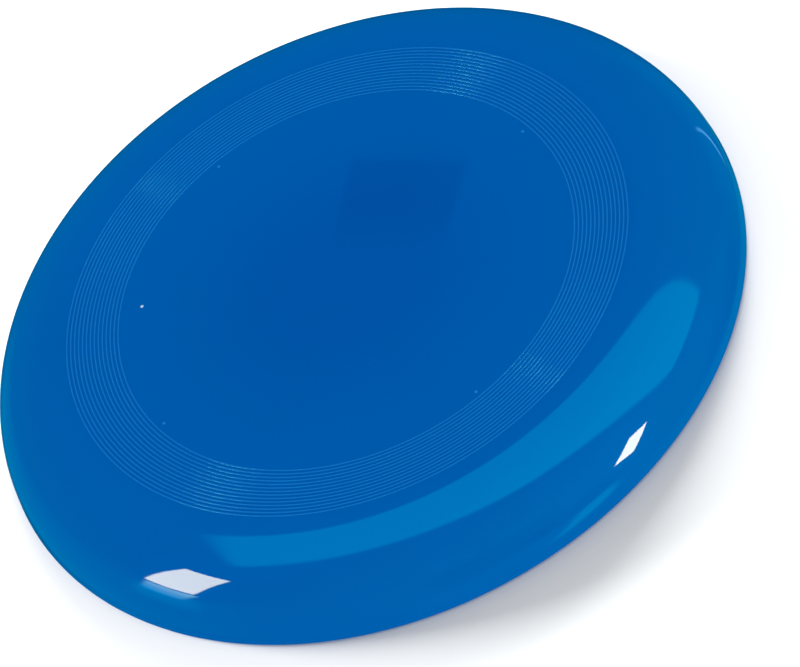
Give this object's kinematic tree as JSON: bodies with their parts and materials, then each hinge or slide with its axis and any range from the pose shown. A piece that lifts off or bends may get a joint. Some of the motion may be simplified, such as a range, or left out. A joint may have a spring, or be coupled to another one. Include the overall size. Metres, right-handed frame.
{
  "type": "flying disc",
  "caption": "One-piece moulded flying disc: flat plate with a band of fine concentric flight rings, a rounded shoulder and a plain rim, open underneath.",
  "frame": {"origin": "centre of the circle that the rim rests on, in the resting plane", "axes": "+Z along the disc's axis, up out of the flat plate; +X through one of the four gate marks on the plate"},
  "size_m": [0.23, 0.23, 0.0236],
  "materials": {
    "moulded_plastic": "glossy self-coloured blue polypropylene"
  },
  "bodies": {
    "root": {"disc_shell": "moulded_plastic"}
  },
  "joints": []
}
